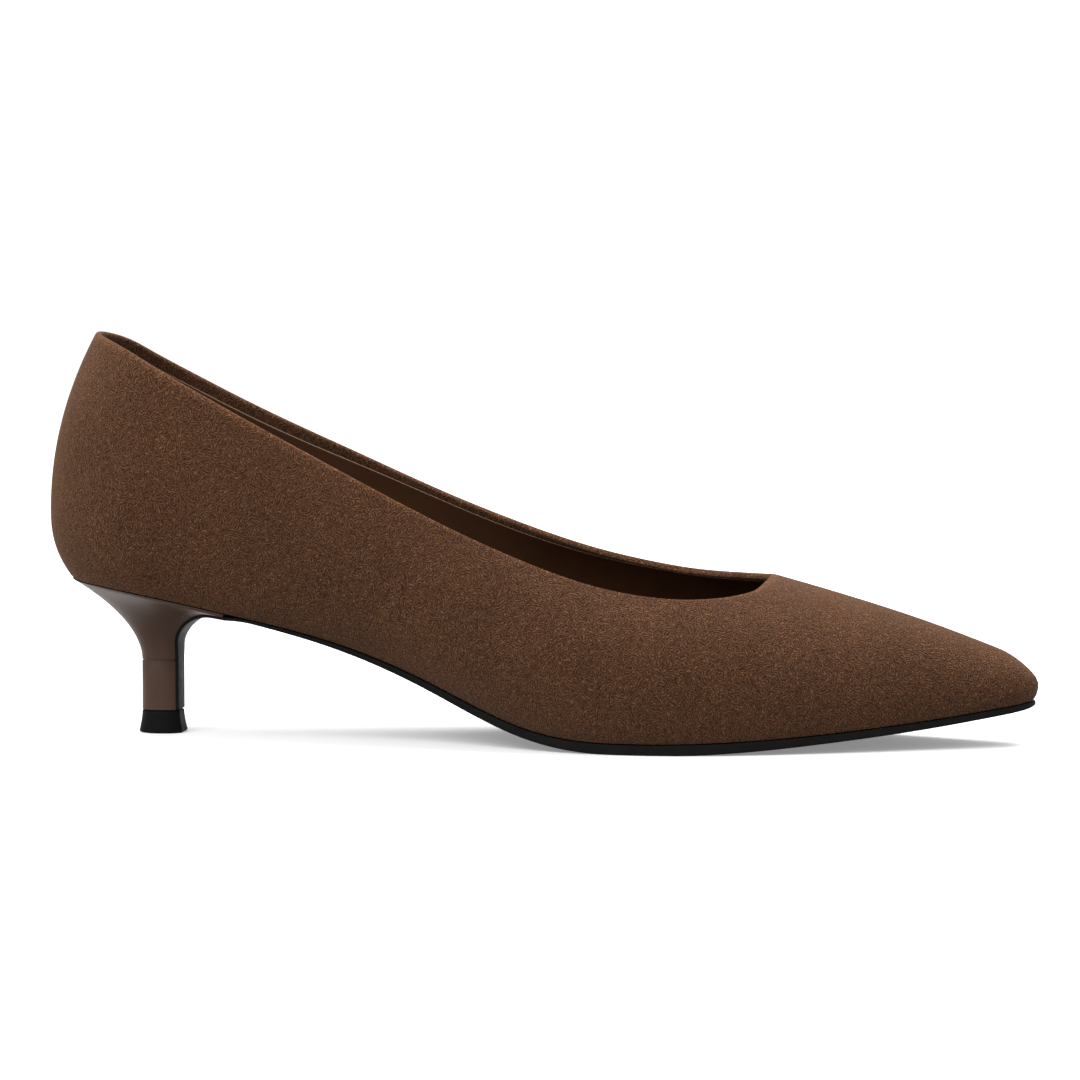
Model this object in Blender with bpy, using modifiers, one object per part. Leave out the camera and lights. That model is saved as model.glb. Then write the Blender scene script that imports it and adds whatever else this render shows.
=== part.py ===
"""Kitten heel pump, right shoe: a closed, pointed court shoe on a low, slim heel.

The upper, insole, outsole, heel and top lift are lofted from one last: short tables give its
plan, its side profile and its topline, and every piece takes its place from them. Lengths are in
metres. X runs from the heel to the toe, Y from the outer to the inner side, and Z up from the
floor.
"""

import math

import bpy
import numpy as np

# Last
LENGTH = 0.2646             # back of the heel to the tip of the toe
BALL_WIDTH = 0.0800         # across the widest part of the forefoot
HEEL_WIDTH = 0.0610         # across the back part, at its fullest
HEEL_LIFT = 0.0389          # back of the seat above the level of the ball
TOE_SPRING = 0.0093         # tip of the toe above the level of the ball
COLLAR_HEIGHT = 0.0660      # back of the collar above the seat
INSTEP_HEIGHT = 0.0400      # vamp near its throat, above the sole
THROAT_AT = 0.1942          # heel to throat

# Rounding of the two ends
HEEL_ROUND = 0.0340         # length over which the back turns, at its fullest
SEAT_ROUND = 0.0300         # the same, at the seat
TOE_ROUND = 0.0090          # length over which the toe turns, at its fullest
TREAD_ROUND = 0.0080        # the same, at the sole
NOSE_ROUND = 0.0100         # length over which the crest drops to the tip
COLLAR_LEAN = 0.0130        # how far the back leans in at the collar
SEAT_TUCK = 0.0058          # how far the back tucks in at the seat
TOE_TUCK = 0.0012           # how far the toe tucks in at the sole
BACK_REACH = 0.0950         # the lean and the tuck die out this far from the back
TOE_REACH = 0.0200          # the toe's tuck dies out this far from the tip

# Pieces
GAP = 0.0003                # between two pieces that meet
WALL = 0.0018               # suede, stiffener and lining together
LASTING_MARGIN = 0.0090     # width of the upper that is turned in under the insole
INSOLE_THICKNESS = 0.0020
INSOLE_INSET = 0.0020       # insole inside the edge of the seat and tread
SOLE_THICKNESS = 0.0028     # at the ball
SOLE_PROUD = 0.0004         # sole beyond the edge of the upper
SOLE_CHAMFER = 0.0006       # around the lower edge of the sole
BALL_FLAT = 0.00015         # worn off the lowest part of the sole, so that it stands flat
FLAP_THICKNESS = 0.0008     # sole leather down the breast of the heel

# Heel
BREAST_AT = 0.0342          # back of the shoe to the front face of the stem
BREAST_REACH = 0.0128       # the front face sweeps this far forward under the waist
BREAST_DROP = 0.0093        # and this far down before it is upright
LIP_REACH = 0.0048          # the heel's thin lip goes on this far under the waist
LIP_DROP = 0.0022           # sole under the seat, where the front face levels out
WAIST_JOIN = 0.0250         # from the breast to where the sole meets the upper
STEM_BACK_AT = 0.0243       # back of the shoe to the back of the stem
STEM_HALF_WIDTH = 0.0053
STEM_HEIGHT = 0.0199        # top of the straight stem above the floor
STEM_FRONT_SHARE = 0.76     # width of the stem's flat front, as a share of the stem
GROOVE_DEPTH = 0.00014      # of the fine line moulded round the top of the stem
GROOVE_HEIGHT = 0.0006
TIP_HEIGHT = 0.0060         # top lift
TIP_FLARE = 0.0008          # how far the top lift spreads at the floor
TIP_ROUND = 0.0005          # edge of its lower face
TIP_FRONT_SHARE = 0.56      # its front is flat over this share, between rounded corners

# Plain colours and roughness, before the surfaces are worked up
UPPER_COLOUR, UPPER_ROUGHNESS = (0.112, 0.058, 0.034), 0.95
INSOLE_COLOUR, INSOLE_ROUGHNESS = (0.030, 0.013, 0.006), 0.5
SOLE_COLOUR, SOLE_ROUGHNESS = (0.012, 0.012, 0.012), 0.45
HEEL_COLOUR, HEEL_ROUGHNESS = (0.075, 0.045, 0.033), 0.25
TIP_COLOUR, TIP_ROUGHNESS = (0.010, 0.010, 0.010), 0.4

# How finely the forms are divided
SIDE_STEPS = 48             # around each side of the upper
CROWN_STEPS = 9             # from the widest line up to the topline
BELLY_STEPS = 4             # from the widest line down to the sole
SOLE_STEPS = 34             # along the sole, from the toe to the waist
LIP_STEPS = 4               # along the heel's thin lip
BREAST_STEPS = 9            # around the sweep of the breast
FLARE_STEPS = 12            # down the flare of the heel
HEEL_SIDE_STEPS = 14        # around each side of the heel
HEEL_FRONT_STEPS = 6        # across the breast
END_STEP = 0.35             # of one step, from the very end of a sole to its first section
WIDEST_STEPS = 200          # sections tried to find the widest one
SHARP_ANGLE = math.radians(35)

# Half widths of the last, outward and inward of its centre line. Each row is a section: its
# place as a share of LENGTH, the width it follows, and shares of that width at the fullest
# level and at the edge of the tread.
PLAN = (
    # at, width, outer, inner, tread_outer, tread_inner
    (0.00, HEEL_WIDTH, 0.500, 0.500, 0.415, 0.415),
    (0.10, HEEL_WIDTH, 0.507, 0.507, 0.425, 0.425),
    (0.20, HEEL_WIDTH, 0.510, 0.502, 0.405, 0.385),
    (0.30, HEEL_WIDTH, 0.528, 0.490, 0.378, 0.322),
    (0.40, BALL_WIDTH, 0.444, 0.384, 0.312, 0.236),
    (0.50, BALL_WIDTH, 0.502, 0.424, 0.397, 0.309),
    (0.60, BALL_WIDTH, 0.533, 0.465, 0.474, 0.415),
    (0.70, BALL_WIDTH, 0.492, 0.462, 0.450, 0.427),
    (0.80, BALL_WIDTH, 0.376, 0.372, 0.345, 0.342),
    (0.90, BALL_WIDTH, 0.236, 0.236, 0.209, 0.209),
    (1.00, BALL_WIDTH, 0.097, 0.097, 0.078, 0.078),
)

# Heights of the last. lift is a share of HEEL_LIFT and spring of TOE_SPRING: together they raise
# the tread. belly, to the fullest level, and crown, to the crest, are shares of the height that
# the row follows. sole is the thickness of the outsole as a share of SOLE_THICKNESS.
PROFILE = (
    # at, lift, spring, height, belly, crown, sole
    (0.00, 1.018, 0.000, COLLAR_HEIGHT, 0.258, 1.320, 0.30),
    (0.10, 0.941, 0.000, COLLAR_HEIGHT, 0.280, 1.350, 0.30),
    (0.20, 0.798, 0.000, COLLAR_HEIGHT, 0.290, 1.270, 0.27),
    (0.30, 0.626, 0.000, COLLAR_HEIGHT, 0.298, 1.140, 0.45),
    (0.40, 0.367, 0.000, INSTEP_HEIGHT, 0.488, 1.625, 0.65),
    (0.50, 0.080, 0.000, INSTEP_HEIGHT, 0.432, 1.410, 0.83),
    (0.55, 0.014, 0.000, INSTEP_HEIGHT, 0.390, 1.325, 0.93),
    (0.60, 0.000, 0.000, INSTEP_HEIGHT, 0.355, 1.245, 1.00),
    (0.70, 0.000, 0.054, INSTEP_HEIGHT, 0.290, 1.080, 0.97),
    (0.80, 0.000, 0.250, INSTEP_HEIGHT, 0.218, 0.858, 0.80),
    (0.90, 0.000, 0.565, INSTEP_HEIGHT, 0.140, 0.578, 0.70),
    (1.00, 0.000, 1.000, INSTEP_HEIGHT, 0.095, 0.225, 0.56),
)

# Height of the topline above the tread on each side, as shares of the height that the row
# follows. At the throat it meets the crest.
TOPLINE = (
    # at, height, outer, inner
    (0.00, COLLAR_HEIGHT, 0.993, 0.993),
    (0.02, COLLAR_HEIGHT, 0.978, 0.972),
    (0.05, COLLAR_HEIGHT, 0.953, 0.926),
    (0.10, COLLAR_HEIGHT, 0.902, 0.860),
    (0.15, COLLAR_HEIGHT, 0.852, 0.813),
    (0.20, COLLAR_HEIGHT, 0.806, 0.775),
    (0.30, COLLAR_HEIGHT, 0.716, 0.712),
    (0.40, INSTEP_HEIGHT, 1.103, 1.144),
    (0.50, INSTEP_HEIGHT, 1.085, 1.185),
    (0.60, INSTEP_HEIGHT, 0.962, 1.083),
    (0.65, INSTEP_HEIGHT, 0.921, 1.028),
    (0.68, INSTEP_HEIGHT, 0.916, 1.012),
    (0.70, INSTEP_HEIGHT, 0.922, 1.006),
    (0.715, INSTEP_HEIGHT, 0.935, 1.003),
    (0.726, INSTEP_HEIGHT, 0.960, 1.004),
    (THROAT_AT / LENGTH, INSTEP_HEIGHT, 1.011, 1.011),
)

OUTER = -1
INNER = 1


def smooth_curve(places, values):
    """Natural cubic spline through the rows of a table."""
    places = np.asarray(places, float)
    values = np.asarray(values, float)
    count = len(places)
    steps = np.diff(places)
    matrix = np.eye(count)
    right = np.zeros(count)
    for i in range(1, count - 1):
        matrix[i, i - 1] = steps[i - 1]
        matrix[i, i] = 2 * (steps[i - 1] + steps[i])
        matrix[i, i + 1] = steps[i]
        slope_after = (values[i + 1] - values[i]) / steps[i]
        slope_before = (values[i] - values[i - 1]) / steps[i - 1]
        right[i] = 6 * (slope_after - slope_before)
    bend = np.linalg.solve(matrix, right)

    def read(place):
        place = min(max(place, places[0]), places[-1])
        i = min(max(int(np.searchsorted(places, place)) - 1, 0), count - 2)
        a = (places[i + 1] - place) / steps[i]
        b = (place - places[i]) / steps[i]
        cubic = (a ** 3 - a) * bend[i] + (b ** 3 - b) * bend[i + 1]
        return float(a * values[i] + b * values[i + 1] + cubic * steps[i] ** 2 / 6)

    return read


def half_width_curve(column):
    return smooth_curve([row[0] * LENGTH for row in PLAN], [row[1] * row[column] for row in PLAN])


def height_curve(table, size_column, column):
    places = [row[0] * LENGTH for row in table]
    return smooth_curve(places, [row[size_column] * row[column] for row in table])


FULL_WIDTH = {OUTER: half_width_curve(2), INNER: half_width_curve(3)}
TREAD_WIDTH = {OUTER: half_width_curve(4), INNER: half_width_curve(5)}
TOPLINE_HEIGHT = {OUTER: height_curve(TOPLINE, 1, 2), INNER: height_curve(TOPLINE, 1, 3)}
belly_height = height_curve(PROFILE, 3, 4)
crest_height = height_curve(PROFILE, 3, 5)
tread_lift = smooth_curve(
    [row[0] * LENGTH for row in PROFILE],
    [row[1] * HEEL_LIFT + row[2] * TOE_SPRING for row in PROFILE],
)
sole_thickness = smooth_curve(
    [row[0] * LENGTH for row in PROFILE], [row[6] * SOLE_THICKNESS for row in PROFILE]
)


def rounding(share):
    """Quarter circle from 0 to 1, which turns an end of an outline."""
    share = min(max(share, 0.0), 1.0)
    return math.sqrt(1 - (1 - share) ** 2)


def fading(share):
    """Smooth step from 1 at share 0 to 0 at share 1."""
    rest = min(max(1 - share, 0.0), 1.0)
    return rest * rest * (3 - 2 * rest)


def mix(a, b, share):
    return a + (b - a) * share


def tread_height(x):
    """Height of the upper's lower face, on which insole, outsole and heel are built."""
    return SOLE_THICKNESS + GAP - BALL_FLAT + tread_lift(x)


def full_height(x):
    """Height of the fullest level."""
    return tread_height(x) + belly_height(x)


def full_width(x, side):
    ends = rounding(x / HEEL_ROUND) * rounding((LENGTH - x) / TOE_ROUND)
    return FULL_WIDTH[side](x) * ends


TREAD_BACK = SEAT_TUCK
TREAD_TIP = LENGTH - TOE_TUCK


def tread_width(x, side, inset=0.0):
    """Half width of the tread at x, drawn in by inset all round."""
    back = rounding((x - TREAD_BACK - inset) / (SEAT_ROUND - inset))
    front = rounding((TREAD_TIP - inset - x) / (TREAD_ROUND - inset))
    return (TREAD_WIDTH[side](x) - inset) * back * front


def tread_place(x):
    """Where the edge of the tread lies under a point x of the fullest line."""
    back = SEAT_TUCK * fading(x / BACK_REACH)
    front = TOE_TUCK * fading((LENGTH - x) / TOE_REACH)
    return x + back - front


def crown_rise(x):
    """Height of the crest above the fullest level, turned down to nothing at the toe."""
    return (crest_height(x) - belly_height(x)) * rounding((LENGTH - x) / NOSE_ROUND)


LEAN_CURVE = 2.05            # the back is nearly upright low down and leans more towards the top
TUCK_CURVE = 2.35
COLLAR_RISE = COLLAR_HEIGHT - belly_height(0.0)


def crown_point(x, y, side, end_share):
    """Point of the last above the fullest level, at station x and distance y from the centre.

    At the very ends the last has no width, and end_share takes the place of y over the width.
    """
    width = full_width(x, side)
    share = min(y / width, 1.0) if width > 1e-9 else end_share
    rise = crown_rise(x) * math.sqrt(1 - share * share)
    lean = COLLAR_LEAN * (rise / COLLAR_RISE) ** LEAN_CURVE * fading(x / BACK_REACH)
    return (x + lean, side * y, full_height(x) + rise)


BELLY_ANGLE = math.radians(60)


def belly_point(x, share, side):
    """Point of the last from the fullest level, share 0, down to the tread, share 1."""
    foot = tread_place(x)
    angle = BELLY_ANGLE * share
    out = (math.cos(angle) - math.cos(BELLY_ANGLE)) / (1 - math.cos(BELLY_ANGLE))
    down = math.sin(angle) / math.sin(BELLY_ANGLE)
    y = mix(tread_width(foot, side), full_width(x, side), out)
    z = mix(full_height(x), tread_height(foot), down)
    return (mix(x, foot, down ** TUCK_CURVE), side * y, z)


def margin_point(x, side, share):
    """Point of the lasting margin, which runs in from the edge of the tread."""
    foot = tread_place(x)
    y = tread_width(foot, side)
    centre = min(max(foot, TREAD_BACK + SEAT_ROUND), TREAD_TIP - 2 * TREAD_ROUND)
    reach = math.hypot(foot - centre, y)
    step = share * min(LASTING_MARGIN, 0.5 * reach) / max(reach, 1e-9)
    inner = mix(foot, centre, step)
    return (inner, side * mix(y, 0.0, step), tread_height(inner))


THROAT_SPREAD = 0.85        # turns the lines of the upper towards the throat


def upper_line(share, side):
    """One line of the upper from the topline to the margin, at a share of the way to the toe."""
    low = LENGTH * (1 - math.cos(math.pi * share)) / 2
    high = THROAT_AT * (1 - math.cos(math.pi * share ** THROAT_SPREAD)) / 2
    top = tread_height(high) + TOPLINE_HEIGHT[side](high)
    sine = min((top - full_height(high)) / crown_rise(high), 1.0)
    if share == 1.0:
        sine = 1.0
    turn = math.asin(sine)
    high_y = full_width(high, side) * math.cos(turn)
    low_y = full_width(low, side)
    line = []
    for step in range(CROWN_STEPS, 0, -1):
        angle = turn * step / CROWN_STEPS
        part = (1 - math.cos(angle)) / (1 - math.cos(turn))
        x = mix(low, high, part)
        line.append(crown_point(x, mix(low_y, high_y, part), side, math.cos(angle)))
    for step in range(BELLY_STEPS + 1):
        line.append(belly_point(low, step / BELLY_STEPS, side))
    line.append(margin_point(low, side, 1.0))
    return line


def ring_grid(lines):
    """Vertices and faces of a strip whose lines stand side by side around a closed ring."""
    rows = len(lines[0])
    vertices = [point for line in lines for point in line]
    faces = []
    for i in range(len(lines)):
        here = i * rows
        there = (i + 1) % len(lines) * rows
        for j in range(rows - 1):
            faces.append((here + j + 1, there + j + 1, there + j, here + j))
    return vertices, faces


# Sole and breast in side view

LIP_AT = BREAST_AT + BREAST_REACH + LIP_REACH
APEX_AT = BREAST_AT + BREAST_REACH
APEX_HEIGHT = tread_height(APEX_AT) - LIP_DROP
JOIN_AT = BREAST_AT + WAIST_JOIN


def tread_slope(x):
    return (tread_height(x + GAP) - tread_height(x - GAP)) / (2 * GAP)


def under_tread(x):
    """Stop on the upper face of the sole where it meets the upper: x, z and the way down."""
    slope = tread_slope(x)
    length = math.hypot(1, slope)
    return (x, tread_height(x) - GAP, slope / length, -1 / length)


def under_lip(share):
    """The same where the sole leaves the upper, share 0, and levels out at the apex, share 1."""
    reach = JOIN_AT - APEX_AT
    cube, square = share ** 3, share ** 2
    start = tread_height(JOIN_AT) - GAP
    slope = -tread_slope(JOIN_AT) * reach
    z = (2 * cube - 3 * square + 1) * start + (3 * square - 2 * cube) * APEX_HEIGHT
    z += (cube - 2 * square + share) * slope
    rate = 6 * (square - share) * (start - APEX_HEIGHT) + (3 * square - 4 * share + 1) * slope
    slope_here = -rate / reach
    length = math.hypot(1, slope_here)
    return (JOIN_AT - reach * share, z, slope_here / length, -1 / length)


def down_breast(share):
    """The same around the sweep from the apex, share 0, to the upright front, share 1."""
    angle = math.pi / 2 * (1 - share)
    x = APEX_AT - BREAST_REACH * math.cos(angle)
    z = APEX_HEIGHT - BREAST_DROP + BREAST_DROP * math.sin(angle)
    across = math.cos(angle) / BREAST_REACH
    along = math.sin(angle) / BREAST_DROP
    length = math.hypot(across, along)
    return (x, z, across / length, -along / length)


LIP_SHARE = (JOIN_AT - LIP_AT) / (JOIN_AT - APEX_AT)


def breast_line():
    """Stops down the front of the heel, from its lip to the top of the stem."""
    stops = [under_lip(mix(LIP_SHARE, 1.0, step / LIP_STEPS)) for step in range(LIP_STEPS)]
    stops += [down_breast(step / BREAST_STEPS) for step in range(BREAST_STEPS + 1)]
    stops.append((BREAST_AT, STEM_HEIGHT, 1.0, 0.0))
    return stops


BREAST_LINE = breast_line()
BREAST_RUN = [0.0]
for before, after in zip(BREAST_LINE, BREAST_LINE[1:]):
    BREAST_RUN.append(BREAST_RUN[-1] + math.hypot(after[0] - before[0], after[1] - before[1]))


def breast_stop(share):
    """Stop at a share of the way down the front of the heel."""
    run = share * BREAST_RUN[-1]
    return tuple(float(np.interp(run, BREAST_RUN, column)) for column in zip(*BREAST_LINE))


# Heel sections

FLARE_CURVE = 1.80          # how the heel narrows from the seat to the stem
BACK_CURVE = 1.85           # how its back sweeps in
STEM_ROUND_SHARE = 0.5      # the back half of the stem is round


def flare_width(seat, stem, share):
    return mix(stem, seat, (1 - share) ** FLARE_CURVE)


def corner_width(share, side):
    """Half width of the heel's front at a share of the way down the flare."""
    return flare_width(tread_width(LIP_AT, side), STEM_HALF_WIDTH * STEM_FRONT_SHARE, share)


def stem_width(place, front_share=STEM_FRONT_SHARE):
    """Half width of the stem at a share of the way from its back to its front."""
    past = max(place - STEM_ROUND_SHARE, 0.0) / (1 - STEM_ROUND_SHARE)
    taper = 1 - (1 - front_share) * past ** 3
    return STEM_HALF_WIDTH * rounding(place / STEM_ROUND_SHARE) * taper


HEEL_PLACES = [1 - math.cos(math.pi / 2 * j / HEEL_SIDE_STEPS) for j in range(HEEL_SIDE_STEPS + 1)]


def heel_ring(point):
    """Ring around the heel, from the middle of its back along the outer side and back again."""
    ring = [point(place, OUTER) for place in HEEL_PLACES]
    outer_corner = point(1.0, OUTER)
    inner_corner = point(1.0, INNER)
    for step in range(1, HEEL_FRONT_STEPS):
        y = mix(outer_corner[1], inner_corner[1], step / HEEL_FRONT_STEPS)
        ring.append((outer_corner[0], y, outer_corner[2]))
    ring += [point(place, INNER) for place in reversed(HEEL_PLACES[1:])]
    return ring


def seat_ring():
    def point(place, side):
        x = mix(TREAD_BACK, LIP_AT, place)
        return (x, side * tread_width(x, side), tread_height(x) - GAP)

    return heel_ring(point)


def flare_ring(share):
    """Ring of the flare, from the seat, share 0, to the top of the stem, share 1."""
    front_x, front_z, way_x, way_z = breast_stop(share)
    front_x -= GAP * way_x
    front_z -= GAP * way_z
    seat_z = tread_height(TREAD_BACK) - GAP
    back_x = mix(STEM_BACK_AT, TREAD_BACK, (1 - share) ** BACK_CURVE)
    back_z = mix(seat_z, STEM_HEIGHT, share)

    def point(place, side):
        seat_x = mix(TREAD_BACK, LIP_AT, place)
        width = flare_width(tread_width(seat_x, side), stem_width(place), share)
        straight = mix(seat_z, tread_height(LIP_AT) - GAP, place)
        bow = (tread_height(seat_x) - GAP - straight) * (1 - share) ** 2
        return (mix(back_x, front_x, place), side * width, mix(back_z, front_z, place) + bow)

    return heel_ring(point)


def stem_ring(z, inset=0.0, front=BREAST_AT - GAP, front_share=STEM_FRONT_SHARE):
    """Level ring of the stem, drawn in by inset, or let out where inset is negative."""
    back = STEM_BACK_AT + inset
    scale = 1 - inset / STEM_HALF_WIDTH

    def point(place, side):
        y = side * stem_width(place, front_share) * scale
        return (mix(back, front - inset, place), y, z)

    return heel_ring(point)


# Faces

def ladder(count):
    """Faces across a heel ring, from side to side, with the first at its back."""
    faces = [(0, 1, count - 1)]
    for j in range(1, HEEL_SIDE_STEPS - 1):
        faces.append((j, j + 1, count - j - 1, count - j))
    last = HEEL_SIDE_STEPS - 1
    faces.append(tuple(range(last, count - last + 1)))
    return faces


def loft(rings, end_faces=None):
    """Closed solid through rings that turn right-handed about the way from first to last.

    end_faces, where given, are the faces across the last ring. Other ends are one flat face.
    """
    count = len(rings[0])
    vertices = [point for ring in rings for point in ring]
    faces = []
    for i in range(len(rings) - 1):
        here = i * count
        there = here + count
        for j in range(count):
            after = (j + 1) % count
            faces.append((here + j, here + after, there + after, there + j))
    faces.append(tuple(range(count - 1, -1, -1)))
    last = len(vertices) - count
    for face in end_faces or [tuple(range(count))]:
        faces.append(tuple(last + j for j in face))
    return vertices, faces


CHAMFER_LIMIT = 0.35        # a chamfer takes no more than this share of a section


def sole_section(stop, thickness, outer, inner):
    """Section of the outsole: flat above, chamfered round its lower edge, flat on the floor."""
    x, z, way_x, way_z = stop
    chamfer = min(SOLE_CHAMFER, CHAMFER_LIMIT * thickness, CHAMFER_LIMIT * outer)

    def corner(y, depth):
        return (x + way_x * depth, y, max(z + way_z * depth, 0.0))

    return [
        corner(-outer, 0.0),
        corner(inner, 0.0),
        corner(inner, thickness - chamfer),
        corner(inner - chamfer, thickness),
        corner(chamfer - outer, thickness),
        corner(-outer, thickness - chamfer),
    ]


# Pieces

def make_upper():
    shares = [step / SIDE_STEPS for step in range(SIDE_STEPS + 1)]
    lines = [upper_line(share, OUTER) for share in shares]
    lines += [upper_line(share, INNER) for share in reversed(shares[1:-1])]
    upper = make_object("upper", *ring_grid(lines), UPPER_COLOUR, UPPER_ROUGHNESS)
    wall = upper.modifiers.new("wall", "SOLIDIFY")
    wall.thickness = WALL
    wall.offset = -1
    wall.use_even_offset = True
    wall.use_quality_normals = True
    return upper


def make_insole():
    """Sock and insole board, on the lasting margin inside the upper."""
    back = TREAD_BACK + INSOLE_INSET
    tip = TREAD_TIP - INSOLE_INSET
    rings = []
    for step in range(SOLE_STEPS):
        turn = math.pi * (step + END_STEP) / (SOLE_STEPS - 1 + 2 * END_STEP)
        x = mix(back, tip, (1 + math.cos(turn)) / 2)
        outer = tread_width(x, OUTER, INSOLE_INSET)
        inner = tread_width(x, INNER, INSOLE_INSET)
        low = tread_height(x) + WALL + GAP
        high = low + INSOLE_THICKNESS
        rings.append([(x, -outer, high), (x, inner, high), (x, inner, low), (x, -outer, low)])
    return make_object("insole", *loft(rings), INSOLE_COLOUR, INSOLE_ROUGHNESS)


def make_outsole():
    """Leather sole from the toe through the waist, with its flap down the breast of the heel."""
    rings = []
    for step in range(SOLE_STEPS):
        share = 1 - math.cos(math.pi / 2 * (step + END_STEP) / SOLE_STEPS)
        x = mix(TREAD_TIP + SOLE_PROUD, JOIN_AT, share)
        proud = SOLE_PROUD * rounding((x - JOIN_AT) / SEAT_ROUND)
        widths = (tread_width(x, OUTER, -proud), tread_width(x, INNER, -proud))
        rings.append(sole_section(under_tread(x), sole_thickness(x), *widths))
    for step in range(LIP_STEPS):
        stop = under_lip(LIP_SHARE * step / LIP_STEPS)
        thickness = mix(sole_thickness(JOIN_AT), FLAP_THICKNESS, step / LIP_STEPS)
        widths = (tread_width(stop[0], OUTER), tread_width(stop[0], INNER))
        rings.append(sole_section(stop, thickness, *widths))
    for stop, run in zip(BREAST_LINE, BREAST_RUN):
        share = run / BREAST_RUN[-1]
        widths = (corner_width(share, OUTER), corner_width(share, INNER))
        rings.append(sole_section(stop, FLAP_THICKNESS, *widths))
    end = (BREAST_AT, TIP_HEIGHT + GAP, 1.0, 0.0)
    rings.append(sole_section(end, FLAP_THICKNESS, corner_width(1, OUTER), corner_width(1, INNER)))
    return make_object("outsole", *loft(rings), SOLE_COLOUR, SOLE_ROUGHNESS)


FLARE_START = 0.02          # the first ring of the flare lies just under the seat


def make_heel():
    """Moulded heel: a wide seat that flares in to a slim stem, with a fine line round its top."""
    rings = [seat_ring()]
    for step in range(FLARE_STEPS + 1):
        rings.append(flare_ring(mix(FLARE_START, 1.0, step / FLARE_STEPS)))
    rings.append(stem_ring(STEM_HEIGHT - GROOVE_HEIGHT / 2, GROOVE_DEPTH))
    rings.append(stem_ring(STEM_HEIGHT - GROOVE_HEIGHT))
    rings.append(stem_ring(mix(STEM_HEIGHT, TIP_HEIGHT, 0.5)))
    rings.append(stem_ring(TIP_HEIGHT + GAP))
    rings.reverse()
    faces = ladder(len(rings[0]))
    return make_object("heel", *loft(rings, faces), HEEL_COLOUR, HEEL_ROUGHNESS)


TIP_WAIST = 0.35            # share of the spread that is reached half way down the top lift


def make_top_lift():
    """Rubber piece on the end of the heel, under the stem and the end of the flap."""
    front = BREAST_AT + FLAP_THICKNESS
    rings = [
        stem_ring(0.0, TIP_ROUND - TIP_FLARE, front, TIP_FRONT_SHARE),
        stem_ring(TIP_ROUND, -TIP_FLARE, front, TIP_FRONT_SHARE),
        stem_ring(TIP_HEIGHT / 2, -TIP_WAIST * TIP_FLARE, front, TIP_FRONT_SHARE),
        stem_ring(TIP_HEIGHT, 0.0, front, TIP_FRONT_SHARE),
    ]
    return make_object("top_lift", *loft(rings), TIP_COLOUR, TIP_ROUGHNESS)


def make_object(name, vertices, faces, colour, roughness):
    mesh = bpy.data.meshes.new(name)
    mesh.from_pydata(vertices, [], faces)
    material = bpy.data.materials.new(name + "_material")
    material.use_nodes = True
    shader = material.node_tree.nodes["Principled BSDF"]
    shader.inputs["Base Color"].default_value = (*colour, 1.0)
    shader.inputs["Roughness"].default_value = roughness
    shader.inputs["Metallic"].default_value = 0.0
    mesh.materials.append(material)
    mesh.shade_smooth()
    mesh.set_sharp_from_angle(angle=SHARP_ANGLE)
    return bpy.data.objects.new(name, mesh)


def build():
    for old in list(bpy.data.objects):
        bpy.data.objects.remove(old, do_unlink=True)
    collection = bpy.data.collections.new("kitten_heel_pump")
    bpy.context.scene.collection.children.link(collection)
    frame = bpy.data.objects.new("shoe_frame", None)
    collection.objects.link(frame)
    places = [LENGTH * step / WIDEST_STEPS for step in range(WIDEST_STEPS)]
    widest = {side: max(full_width(x, side) for x in places) for side in (OUTER, INNER)}
    frame.location = (-LENGTH / 2, (widest[OUTER] - widest[INNER]) / 2, 0)
    for piece in (make_upper(), make_insole(), make_outsole(), make_heel(), make_top_lift()):
        collection.objects.link(piece)
        piece.parent = frame


build()
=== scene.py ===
"""Kitten heel pump, right shoe: suede upper, kid lining, leather sole and moulded heel.

Every piece is drawn from the same last as the solids, with finer steps, and takes its place from
it. X runs from the heel to the toe, Y from the outer to the inner side, and Z up from the floor.
"""

import math

import bpy
import numpy as np
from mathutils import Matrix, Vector


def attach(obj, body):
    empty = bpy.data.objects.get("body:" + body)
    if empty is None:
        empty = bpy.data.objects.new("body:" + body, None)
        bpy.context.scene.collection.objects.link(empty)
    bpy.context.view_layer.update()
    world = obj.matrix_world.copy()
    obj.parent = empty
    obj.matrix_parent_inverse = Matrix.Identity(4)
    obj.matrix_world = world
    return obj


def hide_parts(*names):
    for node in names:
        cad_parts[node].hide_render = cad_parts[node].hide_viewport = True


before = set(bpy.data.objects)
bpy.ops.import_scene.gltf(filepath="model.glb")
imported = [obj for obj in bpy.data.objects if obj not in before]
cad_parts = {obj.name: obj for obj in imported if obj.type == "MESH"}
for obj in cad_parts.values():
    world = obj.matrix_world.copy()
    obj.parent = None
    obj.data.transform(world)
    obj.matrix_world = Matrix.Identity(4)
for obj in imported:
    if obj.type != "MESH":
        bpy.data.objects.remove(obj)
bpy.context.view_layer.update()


# Suede upper. Calf suede, lasted over the whole form in one piece with no seam in view. At the
# topline the suede is skived and folded to the inside, and below it is turned in under the insole
# as the lasting margin.

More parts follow.
